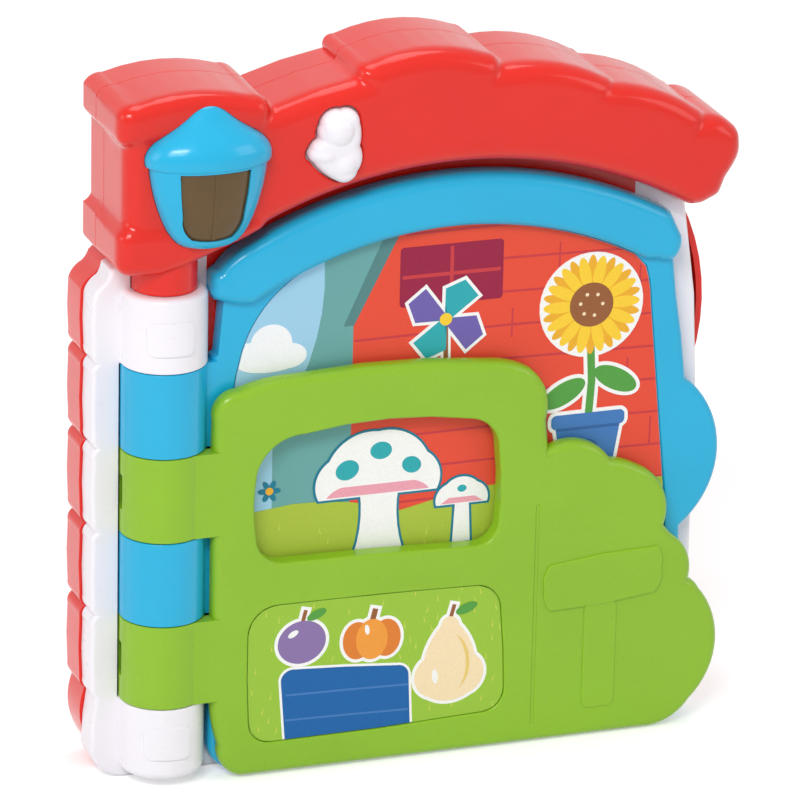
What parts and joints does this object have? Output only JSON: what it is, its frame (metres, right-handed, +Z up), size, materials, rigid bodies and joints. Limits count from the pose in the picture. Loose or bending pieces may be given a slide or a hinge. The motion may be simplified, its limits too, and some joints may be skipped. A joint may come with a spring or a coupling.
{
  "type": "childrens book",
  "caption": "Standing barn-shaped toy book: hollow plastic case with a tiled roof, lantern and bird push button, and two stiff pages that turn on one upright rod.",
  "frame": {"origin": "centre of the bounding box in plan, at the level of the surface that the book stands on", "axes": "+Z up with the book standing, -Y the front that the pages face, +X towards the free edge of the pages"},
  "size_m": [0.2446, 0.0596, 0.2776],
  "materials": {
    "red_plastic": "satin moulded red, lightly glossy",
    "white_plastic": "satin moulded white",
    "blue_plastic": "satin moulded sky blue",
    "green_plastic": "satin moulded leaf green",
    "smoked_window": "clear smoked brown",
    "card_red": "coated print, satin",
    "card_page": "coated print, satin",
    "card_sky": "coated print, satin",
    "card_grass": "coated print, satin",
    "screw_steel": "zinc plated",
    "rod_steel": "drawn rod",
    "contact_steel": "nickel plated",
    "board_green": "solder mask",
    "lamp_clear": "clear lamp body",
    "black_plastic": "fine grain",
    "speaker_grey": "dull grey",
    "cell_wrap": "plain dark wrap"
  },
  "bodies": {
    "case": {"rear_case": "red_plastic", "front_case": "white_plastic", "case_card": "card_red", "page_rod": "rod_steel", "roof_front": "red_plastic", "lantern_frame": "blue_plastic", "lantern_window": "smoked_window", "circuit_board": "board_green", "lamp_led": "lamp_clear", "button_switch": "black_plastic", "speaker": "speaker_grey", "cell_1": "cell_wrap", "cell_2": "cell_wrap", "contact_link": "contact_steel", "contact_low": "contact_steel", "contact_high": "contact_steel", "slide_switch": "black_plastic", "case_screw_1": "screw_steel", "case_screw_2": "screw_steel", "case_screw_3": "screw_steel", "case_screw_4": "screw_steel", "roof_screw_1": "screw_steel", "roof_screw_2": "screw_steel", "roof_screw_3": "screw_steel"},
    "blue_page": {"blue_page": "blue_plastic", "blue_front_card": "card_page", "blue_back_card": "card_sky"},
    "green_page": {"green_page": "green_plastic", "cover_card": "card_grass", "cover_back_card": "card_sky"},
    "bird_button": {"bird_button": "white_plastic"},
    "battery_door": {"battery_door": "red_plastic", "door_screw": "screw_steel"},
    "power_slider": {"power_slider": "black_plastic"}
  },
  "joints": [
    {"name": "blue_page_hinge", "type": "hinge", "parent": "case", "child": "blue_page", "pos_m": [-0.09492, -0.0038, 0.098], "axis": [0, 0, -1], "range_deg": [0, 130]},
    {"name": "green_page_hinge", "type": "hinge", "parent": "blue_page", "child": "green_page", "pos_m": [-0.09492, -0.0038, 0.098], "axis": [0, 0, 1], "range_deg": [-130, 0]},
    {"name": "bird_press", "type": "slide", "parent": "case", "child": "bird_button", "axis": [0, 1, 0], "range_m": [0, 0.002], "stiffness_N_per_m": 400},
    {"name": "battery_door_hinge", "type": "hinge", "parent": "case", "child": "battery_door", "pos_m": [0.00908, 0.0292, 0.0293], "axis": [-1, 0, 0], "range_deg": [0, 80]},
    {"name": "power_slide", "type": "slide", "parent": "case", "child": "power_slider", "axis": [1, 0, 0], "range_m": [0, 0.006]}
  ]
}
